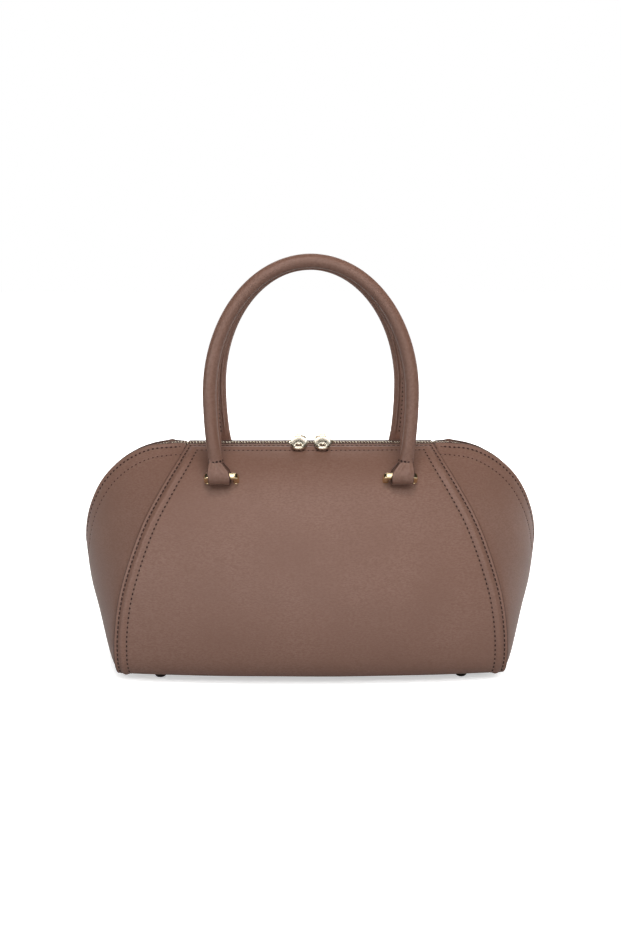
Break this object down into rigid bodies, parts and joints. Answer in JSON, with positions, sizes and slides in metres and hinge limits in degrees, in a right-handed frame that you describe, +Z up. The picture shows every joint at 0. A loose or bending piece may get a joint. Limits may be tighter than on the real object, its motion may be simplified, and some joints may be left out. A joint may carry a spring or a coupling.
{
  "type": "handbag",
  "caption": "Structured leather handbag with lapped front and back panels, folded side gussets, a ridge zip, rolled handles on metal bridge loops and base studs.",
  "frame": {"origin": "on the floor under the middle of the bag, at the flat bottoms of the studs", "axes": "+Z up, +X to the right as seen from the front, the front panel faces -Y"},
  "size_m": [0.3248, 0.1344, 0.2884],
  "materials": {
    "leather": "satin taupe-brown leather with fine pressed grain",
    "handle_leather": "satin taupe-brown leather, rolled and stitched",
    "pale_gold": "polished pale gold plate",
    "stud_metal": "dark plated metal",
    "zip_tape": "woven tape"
  },
  "bodies": {
    "bag": {"front_panel": "leather", "back_panel": "leather", "left_gusset": "leather", "right_gusset": "leather", "base": "leather", "front_handle": "handle_leather", "back_handle": "handle_leather", "front_left_loop": "pale_gold", "front_right_loop": "pale_gold", "back_left_loop": "pale_gold", "back_right_loop": "pale_gold", "zip_chain": "pale_gold", "left_zip_slider": "pale_gold", "right_zip_slider": "pale_gold", "front_left_foot": "stud_metal", "front_right_foot": "stud_metal", "back_left_foot": "stud_metal", "back_right_foot": "stud_metal", "front_zip_tape": "zip_tape", "back_zip_tape": "zip_tape"},
    "left_pull": {"left_zip_pull": "pale_gold"},
    "right_pull": {"right_zip_pull": "pale_gold"}
  },
  "joints": [
    {"name": "left_pull_swing", "type": "hinge", "parent": "bag", "child": "left_pull", "pos_m": [-0.0084, 0, 0.1624], "axis": [-1, 0, 0], "range_deg": [0, 219]},
    {"name": "right_pull_swing", "type": "hinge", "parent": "bag", "child": "right_pull", "pos_m": [0.0084, 0, 0.1624], "axis": [-1, 0, 0], "range_deg": [0, 219]}
  ]
}
